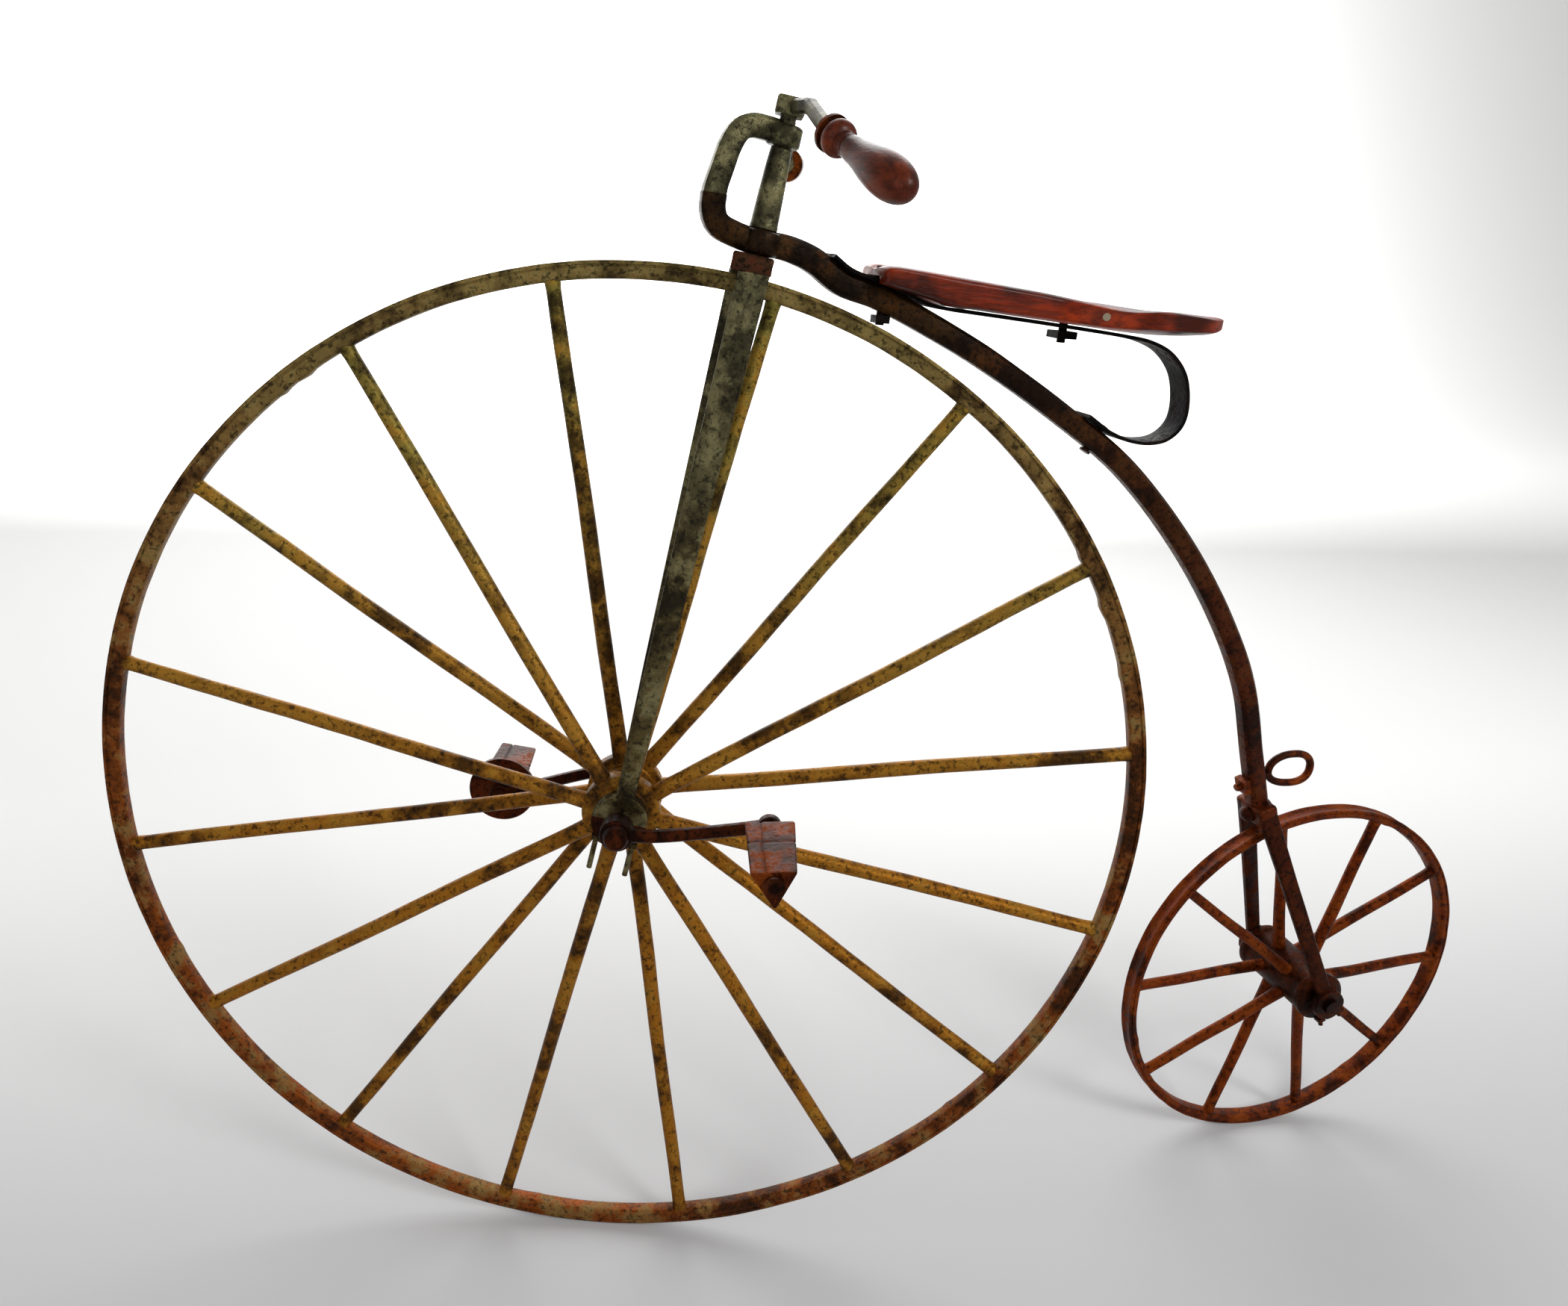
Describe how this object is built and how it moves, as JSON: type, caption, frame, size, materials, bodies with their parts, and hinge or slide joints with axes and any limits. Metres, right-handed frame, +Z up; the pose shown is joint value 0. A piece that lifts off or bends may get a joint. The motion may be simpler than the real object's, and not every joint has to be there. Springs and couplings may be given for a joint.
{
  "type": "high-wheel bicycle",
  "caption": "Antique high-wheel bicycle in worn wrought iron, with a big cranked front wheel, a small rear wheel, a curved backbone, a wooden seat on a flat spring and wooden grips.",
  "frame": {"origin": "middle of the bounding box on the ground, between the two ends and the two sides", "axes": "+Z up, the machine faces -X, the rider's left is -Y; the front wheel stands turned 14.9 degrees to the rider's right"},
  "size_m": [1.4008, 0.3786, 1.0234],
  "materials": {
    "olive_iron": "worn olive-green and brown patina",
    "brown_iron": "dark brown patina",
    "rusty_iron": "red-brown rust",
    "dark_iron": "near-black patina",
    "varnished_wood": "polished, worn red-brown",
    "pale_steel": "worn bright"
  },
  "bodies": {
    "frame": {"backbone": "brown_iron", "head_loop": "olive_iron", "rear_fork_left": "rusty_iron", "rear_fork_right": "rusty_iron", "yoke_rivet": "brown_iron", "rear_bearing_caps": "rusty_iron", "rear_cap_bolts": "dark_iron", "eyebolt": "rusty_iron", "eyebolt_nut": "rusty_iron", "seat_spring": "dark_iron", "spring_rivet": "dark_iron", "front_bolt": "dark_iron", "front_bolt_nut": "dark_iron"},
    "steering": {"fork_crown": "brown_iron", "steering_spindle": "olive_iron", "fork_blade_left": "olive_iron", "fork_blade_right": "olive_iron", "front_bearing_caps": "brown_iron", "front_cap_bolts": "dark_iron", "handlebar": "brown_iron", "grip_washers": "rusty_iron", "grip_left": "varnished_wood", "grip_right": "varnished_wood"},
    "front_wheel": {"front_rim": "olive_iron", "front_spokes": "olive_iron", "front_hub": "olive_iron", "front_axle": "brown_iron", "crank_left": "rusty_iron", "crank_right": "rusty_iron", "pedal_pin_left": "brown_iron", "pedal_pin_right": "brown_iron", "pedal_nut_left": "dark_iron", "pedal_nut_right": "dark_iron"},
    "left_pedal": {"pedal_block_left": "rusty_iron"},
    "right_pedal": {"pedal_block_right": "rusty_iron", "pedal_flange_right": "dark_iron"},
    "rear_wheel": {"rear_rim": "rusty_iron", "rear_spokes": "rusty_iron", "rear_hub": "rusty_iron", "rear_axle": "brown_iron"},
    "seat": {"seat": "varnished_wood", "seat_bolt": "dark_iron", "seat_nut": "dark_iron", "seat_nails": "pale_steel"}
  },
  "joints": [
    {"name": "steering", "type": "hinge", "parent": "frame", "child": "steering", "pos_m": [-0.18751, -0.0014, 0.9151], "axis": [0.144, 0, 0.9896], "range_deg": [-20, 50]},
    {"name": "front_wheel_spin", "type": "hinge", "parent": "steering", "child": "front_wheel", "pos_m": [-0.2639, 0.00089, 0.44996], "axis": [0.2545, 0.9664, -0.037], "continuous": true},
    {"name": "left_pedal_spin", "type": "hinge", "parent": "front_wheel", "child": "left_pedal", "pos_m": [-0.17439, -0.14496, 0.47234], "axis": [0.2545, 0.9664, -0.037], "continuous": true},
    {"name": "right_pedal_spin", "type": "hinge", "parent": "front_wheel", "child": "right_pedal", "pos_m": [-0.3494, 0.14495, 0.40846], "axis": [0.2545, 0.9664, -0.037], "continuous": true},
    {"name": "rear_wheel_spin", "type": "hinge", "parent": "frame", "child": "rear_wheel", "pos_m": [0.4975, -0.0014, 0.2029], "axis": [0, 1, 0], "continuous": true},
    {"name": "seat_rock", "type": "hinge", "parent": "frame", "child": "seat", "pos_m": [-0.0822, -0.0014, 0.897], "axis": [0, 1, 0], "range_deg": [0, 3.5], "stiffness_Nm_per_rad": 300, "springref_deg": -1.15, "deforming": ["seat_spring"]}
  ]
}
